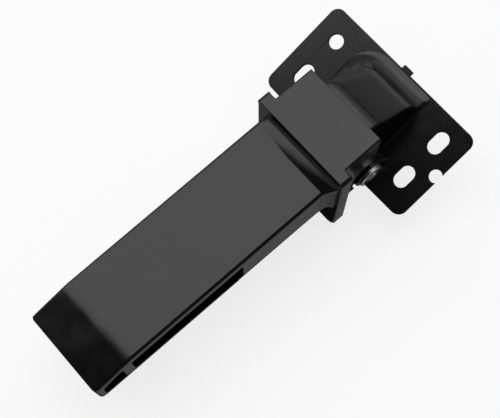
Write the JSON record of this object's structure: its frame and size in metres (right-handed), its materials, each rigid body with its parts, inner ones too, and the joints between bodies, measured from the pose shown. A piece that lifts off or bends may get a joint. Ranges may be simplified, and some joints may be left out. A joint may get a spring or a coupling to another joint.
{
  "type": "document lid hinge",
  "caption": "Sprung lid hinge: a long drop-in leg with a spring chamber, a flanged head, and a slotted lid plate that turns on a hollow pin and is lifted by a cam.",
  "frame": {"origin": "on the seat face of the head's flange, the face that rests on the machine, on the mid-plane and level with the hinge pin", "axes": "+X along the hinge pin towards the notched end of the lid plate, +Y from the leg's tip towards the lid plate, +Z from the leg's back towards its top, as the hinge lies in the picture"},
  "size_m": [0.0608, 0.1335, 0.0397],
  "materials": {
    "black_plastic": "fine-grained matt moulding",
    "cover_plastic": "smooth satin moulding",
    "black_sheet": "black satin coating",
    "natural_acetal": "smooth",
    "black_acetal": "smooth",
    "zinc_steel": "bright zinc plated",
    "pin_steel": "ground",
    "spring_steel": "oiled spring wire",
    "black_rubber": "matt"
  },
  "bodies": {
    "base": {"leg_housing": "black_plastic", "back_cover": "black_plastic", "back_cover_screws": "zinc_steel", "head_housing": "black_plastic", "stop_bumper": "black_rubber", "bush_left": "black_acetal", "bush_right": "black_acetal", "spring_seat": "zinc_steel", "spring_left": "spring_steel", "spring_right": "spring_steel"},
    "slider": {"slider": "natural_acetal", "wear_plate": "zinc_steel", "guide_rod_left": "pin_steel", "guide_rod_right": "pin_steel"},
    "lid": {"lid_plate": "black_sheet", "drum_cover": "cover_plastic", "drum_screws": "zinc_steel", "lift_cam": "natural_acetal", "cam_dowel": "pin_steel", "hinge_pin": "pin_steel", "washer_left": "zinc_steel", "washer_right": "zinc_steel"}
  },
  "joints": [
    {"name": "lid_hinge", "type": "hinge", "parent": "base", "child": "lid", "pos_m": [0, 0.0158, 0], "axis": [1, 0, 0], "range_deg": [0, 68], "stiffness_Nm_per_rad": 1.08, "springref_deg": -77.75},
    {"name": "slider_slide", "type": "slide", "parent": "base", "child": "slider", "axis": [0, -1, 0], "range_m": [0, 0.0084], "deforming": ["spring_left", "spring_right"]}
  ],
  "couplings": [
    {"joint": "slider_slide", "follows": "lid_hinge", "m_per_rad": 0.007}
  ]
}
